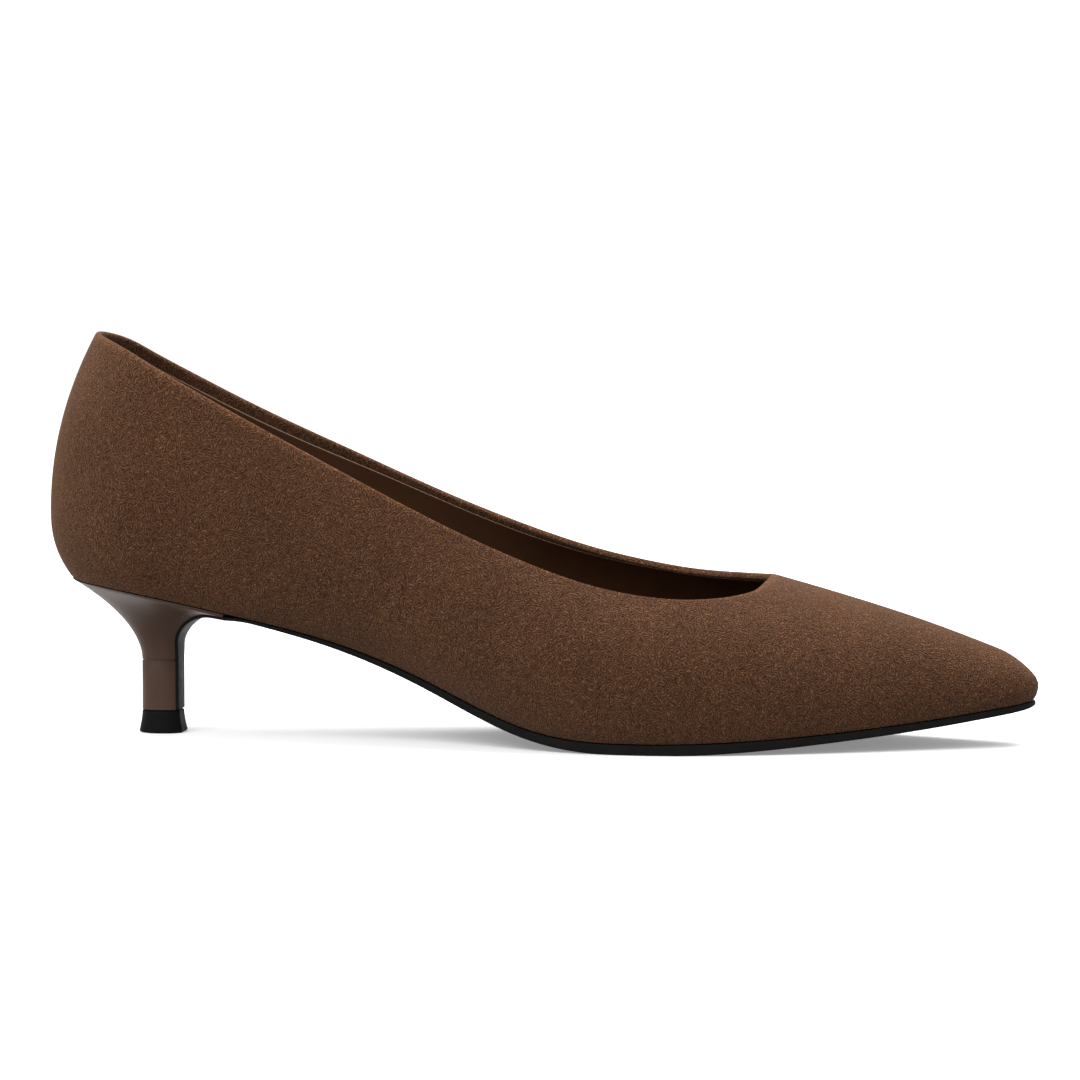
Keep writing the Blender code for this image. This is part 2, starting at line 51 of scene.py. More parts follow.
LENGTH = 0.2646             # back of the heel to the tip of the toe
BALL_WIDTH = 0.0800
HEEL_WIDTH = 0.0610
HEEL_LIFT = 0.0389
TOE_SPRING = 0.0093
COLLAR_HEIGHT = 0.0660
INSTEP_HEIGHT = 0.0400
THROAT_AT = 0.1942
HEEL_ROUND, SEAT_ROUND = 0.0340, 0.0300
TOE_ROUND, TREAD_ROUND, NOSE_ROUND = 0.0090, 0.0080, 0.0100
COLLAR_LEAN, SEAT_TUCK, TOE_TUCK = 0.0130, 0.0058, 0.0012
BACK_REACH, TOE_REACH = 0.0950, 0.0200
GAP = 0.0003
WALL = 0.0018
LASTING_MARGIN = 0.0090
SOLE_THICKNESS = 0.0028
BALL_FLAT = 0.00015
LEAN_CURVE, TUCK_CURVE, THROAT_SPREAD = 2.05, 2.35, 0.85
BELLY_ANGLE = math.radians(60)

SUEDE = 0.0014              # suede with its backing
TURN_IN = 0.0034            # suede folded to the inside of the topline
SKIVE_FROM = 0.9            # share of the turn-in after which it thins to the lining
SUEDE_INSIDE_END = 0.0015   # the suede's inner face turns in this far above the tread
FOLD_HIGHLIGHT_REACH = 0.0011             # painted highlight: the nap is painted paler down to about here from the fold
FOLD_HIGHLIGHT_INSIDE = 0.2         # painted highlight that is left where the fold ends inside
FOLD_HIGHLIGHT_PALE = 0.55          # how much paler the nap is painted where the highlight is strongest
UPPER_LINES = 180           # around each side
DENSE_ROWS = 56             # down each line, before the rows are spaced out evenly
OUTSIDE_ROWS, INSIDE_ROWS = 84, 26
FOLD_STEP = 18              # degrees around the fold
MARGIN_STEPS = 4

# Half widths of the last at the fullest level and at the edge of the tread.
PLAN = (
    # at, width, outer, inner, tread_outer, tread_inner
    (0.00, HEEL_WIDTH, 0.500, 0.500, 0.415, 0.415),
    (0.10, HEEL_WIDTH, 0.507, 0.507, 0.425, 0.425),
    (0.20, HEEL_WIDTH, 0.510, 0.502, 0.405, 0.385),
    (0.30, HEEL_WIDTH, 0.528, 0.490, 0.378, 0.322),
    (0.40, BALL_WIDTH, 0.444, 0.384, 0.312, 0.236),
    (0.50, BALL_WIDTH, 0.502, 0.424, 0.397, 0.309),
    (0.60, BALL_WIDTH, 0.533, 0.465, 0.474, 0.415),
    (0.70, BALL_WIDTH, 0.492, 0.462, 0.450, 0.427),
    (0.80, BALL_WIDTH, 0.376, 0.372, 0.345, 0.342),
    (0.90, BALL_WIDTH, 0.236, 0.236, 0.209, 0.209),
    (1.00, BALL_WIDTH, 0.097, 0.097, 0.078, 0.078),
)

# Heights of the last, and the thickness of the outsole.
PROFILE = (
    # at, lift, spring, height, belly, crown, sole
    (0.00, 1.018, 0.000, COLLAR_HEIGHT, 0.258, 1.320, 0.30),
    (0.10, 0.941, 0.000, COLLAR_HEIGHT, 0.280, 1.350, 0.30),
    (0.20, 0.798, 0.000, COLLAR_HEIGHT, 0.290, 1.270, 0.27),
    (0.30, 0.626, 0.000, COLLAR_HEIGHT, 0.298, 1.140, 0.45),
    (0.40, 0.367, 0.000, INSTEP_HEIGHT, 0.488, 1.625, 0.65),
    (0.50, 0.080, 0.000, INSTEP_HEIGHT, 0.432, 1.410, 0.83),
    (0.55, 0.014, 0.000, INSTEP_HEIGHT, 0.390, 1.325, 0.93),
    (0.60, 0.000, 0.000, INSTEP_HEIGHT, 0.355, 1.245, 1.00),
    (0.70, 0.000, 0.054, INSTEP_HEIGHT, 0.290, 1.080, 0.97),
    (0.80, 0.000, 0.250, INSTEP_HEIGHT, 0.218, 0.858, 0.80),
    (0.90, 0.000, 0.565, INSTEP_HEIGHT, 0.140, 0.578, 0.70),
    (1.00, 0.000, 1.000, INSTEP_HEIGHT, 0.095, 0.225, 0.56),
)

# Height of the topline above the tread on each side.
TOPLINE = (
    # at, height, outer, inner
    (0.00, COLLAR_HEIGHT, 0.993, 0.993),
    (0.02, COLLAR_HEIGHT, 0.978, 0.972),
    (0.05, COLLAR_HEIGHT, 0.953, 0.926),
    (0.10, COLLAR_HEIGHT, 0.902, 0.860),
    (0.15, COLLAR_HEIGHT, 0.852, 0.813),
    (0.20, COLLAR_HEIGHT, 0.806, 0.775),
    (0.30, COLLAR_HEIGHT, 0.716, 0.712),
    (0.40, INSTEP_HEIGHT, 1.103, 1.144),
    (0.50, INSTEP_HEIGHT, 1.085, 1.185),
    (0.60, INSTEP_HEIGHT, 0.962, 1.083),
    (0.65, INSTEP_HEIGHT, 0.921, 1.028),
    (0.68, INSTEP_HEIGHT, 0.916, 1.012),
    (0.70, INSTEP_HEIGHT, 0.922, 1.006),
    (0.715, INSTEP_HEIGHT, 0.935, 1.003),
    (0.726, INSTEP_HEIGHT, 0.960, 1.004),
    (THROAT_AT / LENGTH, INSTEP_HEIGHT, 1.011, 1.011),
)

OUTER, INNER = -1, 1


def smooth_curve(places, values):
    """Natural cubic spline through the rows of a table."""
    places = np.asarray(places, float)
    values = np.asarray(values, float)
    count = len(places)
    steps = np.diff(places)
    matrix = np.eye(count)
    right = np.zeros(count)
    for i in range(1, count - 1):
        matrix[i, i - 1:i + 2] = steps[i - 1], 2 * (steps[i - 1] + steps[i]), steps[i]
        slope_after = (values[i + 1] - values[i]) / steps[i]
        right[i] = 6 * (slope_after - (values[i] - values[i - 1]) / steps[i - 1])
    bend = np.linalg.solve(matrix, right)

    def read(place):
        place = min(max(place, places[0]), places[-1])
        i = min(max(int(np.searchsorted(places, place)) - 1, 0), count - 2)
        a = (places[i + 1] - place) / steps[i]
        b = (place - places[i]) / steps[i]
        cubic = (a ** 3 - a) * bend[i] + (b ** 3 - b) * bend[i + 1]
        return float(a * values[i] + b * values[i + 1] + cubic * steps[i] ** 2 / 6)

    return read


def column_curve(table, size_column, column):
    places = [row[0] * LENGTH for row in table]
    return smooth_curve(places, [row[size_column] * row[column] for row in table])


FULL_WIDTH = {OUTER: column_curve(PLAN, 1, 2), INNER: column_curve(PLAN, 1, 3)}
TREAD_WIDTH = {OUTER: column_curve(PLAN, 1, 4), INNER: column_curve(PLAN, 1, 5)}
TOPLINE_HEIGHT = {OUTER: column_curve(TOPLINE, 1, 2), INNER: column_curve(TOPLINE, 1, 3)}
belly_height = column_curve(PROFILE, 3, 4)
crest_height = column_curve(PROFILE, 3, 5)
tread_lift = smooth_curve(
    [row[0] * LENGTH for row in PROFILE],
    [row[1] * HEEL_LIFT + row[2] * TOE_SPRING for row in PROFILE],
)


def rounding(share):
    """Quarter circle from 0 to 1, which turns an end of an outline."""
    share = min(max(share, 0.0), 1.0)
    return math.sqrt(1 - (1 - share) ** 2)


def fading(share):
    """Smooth step from 1 at share 0 to 0 at share 1."""
    rest = min(max(1 - share, 0.0), 1.0)
    return rest * rest * (3 - 2 * rest)


def mix(a, b, share):
    return a + (b - a) * share


def tread_height(x):
    return SOLE_THICKNESS + GAP - BALL_FLAT + tread_lift(x)


def full_height(x):
    return tread_height(x) + belly_height(x)


def full_width(x, side):
    ends = rounding(x / HEEL_ROUND) * rounding((LENGTH - x) / TOE_ROUND)
    return FULL_WIDTH[side](x) * ends


TREAD_BACK = SEAT_TUCK
TREAD_TIP = LENGTH - TOE_TUCK


def tread_width(x, side, inset=0.0):
    """Half width of the tread at x, drawn in by inset all round."""
    back = rounding((x - TREAD_BACK - inset) / (SEAT_ROUND - inset))
    front = rounding((TREAD_TIP - inset - x) / (TREAD_ROUND - inset))
    return (TREAD_WIDTH[side](x) - inset) * back * front


def tread_place(x):
    """Where the edge of the tread lies under a point x of the fullest line."""
    return x + SEAT_TUCK * fading(x / BACK_REACH) - TOE_TUCK * fading((LENGTH - x) / TOE_REACH)


def crown_rise(x):
    return (crest_height(x) - belly_height(x)) * rounding((LENGTH - x) / NOSE_ROUND)


COLLAR_RISE = COLLAR_HEIGHT - belly_height(0.0)


def crown_point(x, y, side, end_share):
    """Point of the last above the fullest level. end_share serves where the last has no width."""
    width = full_width(x, side)
    share = min(y / width, 1.0) if width > 1e-9 else end_share
    rise = crown_rise(x) * math.sqrt(1 - share * share)
    lean = COLLAR_LEAN * (rise / COLLAR_RISE) ** LEAN_CURVE * fading(x / BACK_REACH)
    return (x + lean, side * y, full_height(x) + rise)


def belly_point(x, share, side):
    """Point of the last from the fullest level, share 0, down to the tread, share 1."""
    foot = tread_place(x)
    angle = BELLY_ANGLE * share
    out = (math.cos(angle) - math.cos(BELLY_ANGLE)) / (1 - math.cos(BELLY_ANGLE))
    down = math.sin(angle) / math.sin(BELLY_ANGLE)
    y = mix(tread_width(foot, side), full_width(x, side), out)
    z = mix(full_height(x), tread_height(foot), down)
    return (mix(x, foot, down ** TUCK_CURVE), side * y, z)


def margin_point(x, side, share):
    """Point of the lasting margin, which runs in from the edge of the tread."""
    foot = tread_place(x)
    y = tread_width(foot, side)
    centre = min(max(foot, TREAD_BACK + SEAT_ROUND), TREAD_TIP - 2 * TREAD_ROUND)
    reach = math.hypot(foot - centre, y)
    step = share * min(LASTING_MARGIN, 0.5 * reach) / max(reach, 1e-9)
    inner = mix(foot, centre, step)
    return (inner, side * mix(y, 0.0, step), tread_height(inner))


def upper_line(share, side):
    """One line of the upper, from the topline down to the edge of the tread."""
    low = LENGTH * (1 - math.cos(math.pi * share)) / 2
    high = THROAT_AT * (1 - math.cos(math.pi * share ** THROAT_SPREAD)) / 2
    top = tread_height(high) + TOPLINE_HEIGHT[side](high)
    sine = min((top - full_height(high)) / crown_rise(high), 1.0)
    turn = math.asin(1.0 if share == 1.0 else sine)
    high_y = full_width(high, side) * math.cos(turn)
    low_y = full_width(low, side)
    crown_rows = 2 * DENSE_ROWS // 3
    line = []
    for step in range(crown_rows, 0, -1):
        angle = turn * step / crown_rows
        part = (1 - math.cos(angle)) / (1 - math.cos(turn))
        point = crown_point(mix(low, high, part), mix(low_y, high_y, part), side, math.cos(angle))
        line.append(point)
    belly_rows = DENSE_ROWS - crown_rows
    line += [belly_point(low, step / (belly_rows - 1), side) for step in range(belly_rows)]
    return line


FRAME_PLACE = np.array((
    -LENGTH / 2,
    (max(full_width(LENGTH * i / 200, OUTER) for i in range(200))
     - max(full_width(LENGTH * i / 200, INNER) for i in range(200))) / 2,
    0.0,
))

shares = [step / UPPER_LINES for step in range(UPPER_LINES + 1)]
stations = [(share, OUTER) for share in shares] + [(share, INNER) for share in reversed(shares[1:-1])]
skin = np.array([upper_line(share, side) for share, side in stations]) + FRAME_PLACE
margin = np.array([
    [margin_point(LENGTH * (1 - math.cos(math.pi * share)) / 2, side, (step + 1) / MARGIN_STEPS)
     for step in range(MARGIN_STEPS)]
    for share, side in stations
]) + FRAME_PLACE

along = np.roll(skin, -1, axis=0) - np.roll(skin, 1, axis=0)
down = np.gradient(skin, axis=1)
normals = np.cross(down, along)
normals /= np.linalg.norm(normals, axis=2, keepdims=True)
run = np.zeros(skin.shape[:2])
run[:, 1:] = np.cumsum(np.linalg.norm(np.diff(skin, axis=1), axis=2), axis=1)


def at_run(values, places):
    """The grid's values on every line, at these distances down from the topline."""
    found = np.empty((len(values), places.shape[1], 3))
    for i in range(len(values)):
        for axis in range(3):
            found[i, :, axis] = np.interp(places[i], run[i], values[i, :, axis])
    return found


def spread(first, last, rows, power=1.6):
    """Distances from first to last on every line, closer together at the start."""
    even = np.linspace(0, 1, rows)
    steps = np.minimum(even ** power, (even ** power + 1 - (1 - even) ** power) / 2)
    return np.outer(first, 1 - steps) + np.outer(last, steps)


def link_mesh(name, points, faces, smooth_angle):
    """Object of these points and faces, smooth but for edges sharper than smooth_angle."""
    mesh = bpy.data.meshes.new(name)
    mesh.from_pydata(points.reshape(-1, 3).tolist(), [], faces)
    mesh.shade_smooth()
    mesh.set_sharp_from_angle(angle=smooth_angle)
    piece = bpy.data.objects.new(name, mesh)
    bpy.context.scene.collection.objects.link(piece)
    return piece


def make_shell(name, grid):
    """Closed shell of a grid of points, whose lines stand round a ring and whose rows close too."""
    lines, rows = grid.shape[:2]
    faces = []
    for i in range(lines):
        here, there = i * rows, (i + 1) % lines * rows
        for j in range(rows):
            k = (j + 1) % rows
            faces.append((here + j, here + k, there + k, there + j))
    return link_mesh(name, grid, faces, math.radians(40))


def make_loft(name, rings, smooth_angle=math.radians(40)):
    """Closed piece through rings of points, with a flat face at each end."""
    rows = len(rings[0])
    faces = []
    for i in range(len(rings) - 1):
        here, there = i * rows, (i + 1) * rows
        for j in range(rows):
            k = (j + 1) % rows
            faces.append((here + j, here + k, there + k, there + j))
    faces.append(tuple(range(rows - 1, -1, -1)))
    faces.append(tuple((len(rings) - 1) * rows + j for j in range(rows)))
    return link_mesh(name, np.array(rings) + FRAME_PLACE, faces, smooth_angle)


# The fold at the topline is a half round as thick as the wall. The suede thins below it, so that
# the lining lies flush with the turn-in.
fold = WALL / 2
total = run[:, -1]
start = np.full(len(total), fold)
outside_places = spread(start, total, OUTSIDE_ROWS)
outside = at_run(skin, outside_places)
top_centre = at_run(skin, start[:, None]) - at_run(normals, start[:, None]) * fold
out_way = at_run(normals, start[:, None])
up_way = skin[:, :1] - at_run(skin, start[:, None])
up_way /= np.linalg.norm(up_way, axis=2, keepdims=True)
turns = np.radians(np.arange(FOLD_STEP, 180, FOLD_STEP))[None, :, None]
rim = top_centre + fold * (np.cos(turns) * out_way + np.sin(turns) * up_way)
inside_places = spread(start, total - SUEDE_INSIDE_END, INSIDE_ROWS)
thinning = np.clip((inside_places / TURN_IN - SKIVE_FROM) / (1 - SKIVE_FROM), 0, 1)[:, :, None]
thickness = WALL - (WALL - SUEDE) * thinning
inside = at_run(skin, inside_places) - at_run(normals, inside_places) * thickness
margin_top = margin + np.array((0, 0, SUEDE))
upper_grid = np.concatenate(
    (margin[:, ::-1], outside[:, ::-1], rim, inside, margin_top), axis=1
)[:, ::-1]
suede_upper = make_shell("suede_upper", upper_grid)

# Painted highlight on each point of the suede: full along the fold, where it catches the light, and
# less down from it.
first_rim = MARGIN_STEPS + OUTSIDE_ROWS
rim_rows = rim.shape[1]
painted_fold_highlight = np.zeros(upper_grid.shape[:2])
painted_fold_highlight[:, MARGIN_STEPS:first_rim] = np.exp(-((outside_places[:, ::-1] - fold) / FOLD_HIGHLIGHT_REACH) ** 2)
painted_fold_highlight[:, first_rim:first_rim + rim_rows] = np.linspace(1.0, FOLD_HIGHLIGHT_INSIDE, rim_rows)
painted_highlight = suede_upper.data.attributes.new("painted_fold_highlight", "FLOAT", "POINT")
painted_highlight.data.foreach_set("value", painted_fold_highlight[:, ::-1].ravel())


def colour(code):
    """sRGB hex to the linear colour that a shader takes."""
    parts = [int(code[i:i + 2], 16) / 255 for i in (1, 3, 5)]
    return tuple(c / 12.92 if c <= 0.04045 else ((c + 0.055) / 1.055) ** 2.4 for c in parts) + (1.0,)


def add(tree, kind, inputs=None, **settings):
    """Adds a node. Each input is a value, or the output of another node."""
    node = tree.nodes.new(kind)
    for name, value in settings.items():
        setattr(node, name, value)
    for name, value in (inputs or {}).items():
        if isinstance(value, bpy.types.NodeSocket):
            tree.links.new(value, node.inputs[name])
        else:
            node.inputs[name].default_value = value
    return node


def new_finish(name):
    """Material with a bare shader. Its node tree and shader are returned with it."""
    finish = bpy.data.materials.new(name)
    finish.use_nodes = True
    return finish, finish.node_tree, finish.node_tree.nodes["Principled BSDF"]


# Brushed calf suede: short fibres lie in small curls, so it is matt, mottled and pale at grazing
# angles. The nap lies in tufts 1.3 mm across, each combed its own way, with a curl every 0.6 mm.
# The real fibres are a tenth of that and too fine to show. Along the fold the colour is painted paler,
# a painted highlight.
TUFT = 0.0013
CURL = 0.00062
SWAY = 1.7 * CURL           # how far the tufts' borders wander

suede, tree, shader = new_finish("brushed_calf_suede")
place = add(tree, "ShaderNodeTexCoord").outputs["Object"]
facing = add(tree, "ShaderNodeNewGeometry").outputs["Normal"]
sway = add(tree, "ShaderNodeTexNoise", {
    "Vector": place, "Scale": 0.8 / CURL, "Detail": 0.0,
}).outputs["Color"]
pushed = add(tree, "ShaderNodeVectorMath", {
    0: sway, 1: (SWAY, SWAY, SWAY), 2: place,
}, operation="MULTIPLY_ADD").outputs[0]
tuft = add(tree, "ShaderNodeTexVoronoi", {"Vector": pushed, "Scale": 1 / TUFT})
comb = add(tree, "ShaderNodeVectorMath", {
    0: tuft.outputs["Color"], 1: (2.0, 2.0, 2.0), 2: (-1.0, -1.0, -1.0),
}, operation="MULTIPLY_ADD").outputs[0]
comb = add(tree, "ShaderNodeVectorMath", {0: comb, 1: facing}, operation="CROSS_PRODUCT").outputs[0]
comb = add(tree, "ShaderNodeVectorMath", {0: comb}, operation="NORMALIZE").outputs[0]
local = add(tree, "ShaderNodeVectorMath", {
    0: pushed, 1: tuft.outputs["Position"],
}, operation="SUBTRACT").outputs[0]
across = add(tree, "ShaderNodeVectorMath", {
    0: local, 1: comb,
}, operation="DOT_PRODUCT").outputs["Value"]
turn = add(tree, "ShaderNodeMath", {0: across, 1: 2 * math.pi / CURL}, operation="MULTIPLY").outputs[0]
wave = add(tree, "ShaderNodeMath", {0: turn}, operation="SINE").outputs[0]
ridge = add(tree, "ShaderNodeMapRange", {
    "Value": wave, "From Min": -0.6, "From Max": 1.0, "To Min": 0.0, "To Max": 0.7,
}, interpolation_type="SMOOTHSTEP").outputs[0]
hold = add(tree, "ShaderNodeMapRange", {
    "Value": tuft.outputs["Distance"], "From Min": 0.3, "From Max": 0.8, "To Min": 1.0, "To Max": 0.35,
}).outputs[0]
curl = add(tree, "ShaderNodeMath", {0: ridge, 1: hold}, operation="MULTIPLY").outputs[0]
fibre = add(tree, "ShaderNodeTexNoise", {
    "Vector": place, "Scale": 1500.0, "Detail": 2.0, "Roughness": 0.6, "Distortion": 0.6,
}).outputs["Fac"]
patch = add(tree, "ShaderNodeTexNoise", {
    "Vector": place, "Scale": 55.0, "Detail": 4.0, "Roughness": 0.6,
}).outputs["Fac"]
nap = add(tree, "ShaderNodeMath", {0: fibre, 1: 0.5, 2: curl}, operation="MULTIPLY_ADD").outputs[0]
tone = add(tree, "ShaderNodeMapRange", {
    "Value": nap, "From Min": 0.15, "From Max": 0.8, "To Min": 0.0, "To Max": 1.0,
}).outputs[0]
base = add(tree, "ShaderNodeMix", {
    "Factor": tone, 6: colour("#27150C"), 7: colour("#5A3D2A"),
}, data_type="RGBA").outputs[2]
shade = add(tree, "ShaderNodeMapRange", {
    "Value": patch, "From Min": 0.3, "From Max": 0.7, "To Min": 0.88, "To Max": 1.12,
}).outputs[0]
# Painted highlight: the suede's colour is made paler along the fold at the topline.
painted_highlight = add(tree, "ShaderNodeAttribute", attribute_name="painted_fold_highlight").outputs["Fac"]
shade = add(tree, "ShaderNodeMath", {
    0: painted_highlight, 1: FOLD_HIGHLIGHT_PALE, 2: shade,
}, operation="MULTIPLY_ADD").outputs[0]
mottled = add(tree, "ShaderNodeVectorMath", {0: base, 3: shade}, operation="SCALE").outputs[0]
relief = add(tree, "ShaderNodeBump", {
    "Height": nap, "Strength": 1.0, "Distance": 0.0004,
}).outputs[0]
tree.links.new(mottled, shader.inputs["Base Color"])
tree.links.new(relief, shader.inputs["Normal"])
shader.inputs["Roughness"].default_value = 0.95
shader.inputs["Specular IOR Level"].default_value = 0.05
shader.inputs["Sheen Weight"].default_value = 0.28
shader.inputs["Sheen Roughness"].default_value = 0.45
shader.inputs["Sheen Tint"].default_value = colour("#C39C80")
suede_upper.data.materials.append(suede)
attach(suede_upper, "root")
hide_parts("upper")


# Lining. Dark brown glazed kid, cut to the inside of the upper. Its upper edge meets the
# suede's turn-in and is painted as a thin pale line, a painted glint. Below, it turns in under the
# insole.

LINING = 0.0004
LINING_END = 0.0018         # the lining turns in this far above the tread
LINING_ROWS = 34
LINING_SPREAD = 1.3
LINING_TURN_ROWS = 2        # rows of the margin that the lining follows under the insole

lining_top = np.full(len(total), TURN_IN)
lining_places = spread(lining_top + LINING / 2, total - LINING_END, LINING_ROWS, LINING_SPREAD)
face = at_run(skin, lining_places) - at_run(normals, lining_places) * WALL
reverse = at_run(skin, lining_places) - at_run(normals, lining_places) * (WALL - LINING)
edge_run = (lining_top + LINING / 2)[:, None]
edge_centre = at_run(skin, edge_run) - at_run(normals, edge_run) * (WALL - LINING / 2)
edge_in = -at_run(normals, edge_run)
edge_up = at_run(skin, lining_top[:, None]) - at_run(skin, edge_run)
edge_up /= np.linalg.norm(edge_up, axis=2, keepdims=True)
edge_turns = np.radians(np.array((30, 60, 90, 120, 150)))[None, :, None]
edge = edge_centre + LINING / 2 * (np.cos(edge_turns) * edge_in + np.sin(edge_turns) * edge_up)
turned_in = margin[:, :LINING_TURN_ROWS] + np.array((0, 0, WALL))
turned_back = turned_in[:, ::-1] - np.array((0, 0, LINING / 2))
lining_grid = np.concatenate(
    (face, turned_in, turned_back, reverse[:, ::-3], edge[:, ::-1]), axis=1
)[:, ::-1]
kid_lining = make_shell("kid_lining", lining_grid)

# Glazed kid: close, fine grain of about 0.4 mm and a low polish.
kid, tree, shader = new_finish("glazed_kid")
place = add(tree, "ShaderNodeTexCoord").outputs["Object"]
grain = add(tree, "ShaderNodeTexVoronoi", {"Vector": place, "Scale": 2300.0}).outputs["Distance"]
cloud = add(tree, "ShaderNodeTexNoise", {"Vector": place, "Scale": 90.0, "Detail": 3.0}).outputs["Fac"]
base = add(tree, "ShaderNodeMix", {
    "Factor": cloud, 6: colour("#2B1A0F"), 7: colour("#412817"),
}, data_type="RGBA").outputs[2]
relief = add(tree, "ShaderNodeBump", {
    "Height": grain, "Strength": 0.25, "Distance": 0.00008,
}).outputs[0]
tree.links.new(base, shader.inputs["Base Color"])
tree.links.new(relief, shader.inputs["Normal"])
shader.inputs["Roughness"].default_value = 0.48
shader.inputs["Specular IOR Level"].default_value = 0.14
kid_lining.data.materials.append(kid)

# The edge is painted pale as a thin line: a painted glint where the cut edge catches the light.
painted_edge_glint, tree, shader = new_finish("kid_edge_painted_glint")
place = add(tree, "ShaderNodeTexCoord").outputs["Object"]
glint_noise = add(tree, "ShaderNodeTexNoise", {
    "Vector": place, "Scale": 1600.0, "Detail": 2.0,
}).outputs["Fac"]
base = add(tree, "ShaderNodeMix", {
    "Factor": glint_noise, 6: colour("#4A3424"), 7: colour("#8A6B52"),
}, data_type="RGBA").outputs[2]
tree.links.new(base, shader.inputs["Base Color"])
shader.inputs["Roughness"].default_value = 0.7
kid_lining.data.materials.append(painted_edge_glint)
# The faces of the lining's upper edge take the painted glint.
lining_rows = lining_grid.shape[1]
edge_rows = np.isin(np.arange(lining_rows), (lining_rows - 1, 0, 1, 2, 3, 4))
kid_lining.data.polygons.foreach_set("material_index", np.tile(edge_rows.astype(int), len(total)))
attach(kid_lining, "root")


# Insole. A thin sock of the same kid over a padded board. It lies on the lasting margin and turns
# up a little where it meets the lining.

INSOLE_THICKNESS = 0.0020
INSOLE_INSET = 0.0020
SOCK_DIP = 0.0004           # its middle lies this far below the full thickness
SOCK_UPTURN = 0.0007        # rise towards the edge
SOCK_ROLL = 0.0003          # drop of the very edge
SOCK_SECTIONS = 150
SOCK_COLUMNS = 20

sock_back = TREAD_BACK + INSOLE_INSET
sock_tip = TREAD_TIP - INSOLE_INSET
sock_rows = []
for step in range(SOCK_SECTIONS):
    x = mix(sock_back, sock_tip, (1 + math.cos(math.pi * (step + 0.3) / (SOCK_SECTIONS - 0.4))) / 2)
    low = tread_height(x) + WALL + GAP
    wide = {side: tread_width(x, side, INSOLE_INSET) for side in (OUTER, INNER)}
    across = [-1 + 2 * j / SOCK_COLUMNS for j in range(SOCK_COLUMNS + 1)]
    top = []
    for share in across:
        y = share * (wide[OUTER] if share < 0 else wide[INNER])
        cup = SOCK_UPTURN * abs(share) ** 6 - SOCK_ROLL * abs(share) ** 12
        top.append((x, y, low + INSOLE_THICKNESS - SOCK_DIP + cup))
    bottom = [(x, wide[INNER], low), (x, 0.0, low), (x, -wide[OUTER], low)]
    sock_rows.append(top + bottom)
insole_sock = make_loft("insole_sock", sock_rows, math.radians(50))
insole_sock.data.materials.append(kid)
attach(insole_sock, "root")
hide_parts("insole")


# Sole. Thin black leather, cemented under the forepart and the waist. It leaves the upper at the
# seat and runs on as a flap down the breast of the heel. Its edge is inked and waxed.

SOLE_PROUD = 0.0004
FLAP_THICKNESS = 0.0008
BREAST_AT = 0.0342
BREAST_REACH = 0.0128
BREAST_DROP = 0.0093
LIP_REACH = 0.0048
LIP_DROP = 0.0022
WAIST_JOIN = 0.0250
STEM_BACK_AT = 0.0243
STEM_HALF_WIDTH = 0.0053
STEM_HEIGHT = 0.0199
STEM_FRONT_SHARE = 0.76
STEM_ROUND_SHARE = 0.5
FLARE_CURVE, BACK_CURVE = 1.80, 1.85
TIP_HEIGHT = 0.0060
SOLE_EDGE = 0.0006          # radius of the lower edge
SOLE_CORNER = 0.0002        # radius of the upper edge
TOE_THINNING = 0.5          # share of the thickness that is worn off at the tip of the toe
TOE_THIN_OVER = 0.0035
SOLE_SECTIONS, LIP_SECTIONS, BREAST_SECTIONS = 110, 12, 30

sole_thickness = smooth_curve(
    [row[0] * LENGTH for row in PROFILE], [row[6] * SOLE_THICKNESS for row in PROFILE]
)
LIP_AT = BREAST_AT + BREAST_REACH + LIP_REACH
APEX_AT = BREAST_AT + BREAST_REACH
APEX_HEIGHT = tread_height(APEX_AT) - LIP_DROP
JOIN_AT = BREAST_AT + WAIST_JOIN
LIP_SHARE = (JOIN_AT - LIP_AT) / (JOIN_AT - APEX_AT)


def tread_slope(x):
    return (tread_height(x + GAP) - tread_height(x - GAP)) / (2 * GAP)


def under_tread(x):
    """Stop on the upper face of the sole where it meets the upper: x, z and the way down."""
    slope = tread_slope(x)
    length = math.hypot(1, slope)
    return (x, tread_height(x) - GAP, slope / length, -1 / length)


def under_lip(share):
    """The same where the sole leaves the upper, share 0, and levels out at the apex, share 1."""
    reach = JOIN_AT - APEX_AT
    cube, square = share ** 3, share ** 2
    start_height = tread_height(JOIN_AT) - GAP
    slope = -tread_slope(JOIN_AT) * reach
    z = (2 * cube - 3 * square + 1) * start_height + (3 * square - 2 * cube) * APEX_HEIGHT
    z += (cube - 2 * square + share) * slope
    rate = 6 * (square - share) * (start_height - APEX_HEIGHT)
    rate += (3 * square - 4 * share + 1) * slope
    slope_here = -rate / reach
    length = math.hypot(1, slope_here)
    return (JOIN_AT - reach * share, z, slope_here / length, -1 / length)


def down_breast(share):
    """The same around the sweep from the apex, share 0, to the upright front, share 1."""
    angle = math.pi / 2 * (1 - share)
    x = APEX_AT - BREAST_REACH * math.cos(angle)
    z = APEX_HEIGHT - BREAST_DROP + BREAST_DROP * math.sin(angle)
    across = math.cos(angle) / BREAST_REACH
    down_way = math.sin(angle) / BREAST_DROP
    length = math.hypot(across, down_way)
    return (x, z, across / length, -down_way / length)


BREAST_LINE = [under_lip(mix(LIP_SHARE, 1.0, step / LIP_SECTIONS)) for step in range(LIP_SECTIONS)]
BREAST_LINE += [down_breast(step / BREAST_SECTIONS) for step in range(BREAST_SECTIONS + 1)]
BREAST_LINE.append((BREAST_AT, STEM_HEIGHT, 1.0, 0.0))
BREAST_RUN = [0.0]
for before, after in zip(BREAST_LINE, BREAST_LINE[1:]):
    BREAST_RUN.append(BREAST_RUN[-1] + math.hypot(after[0] - before[0], after[1] - before[1]))


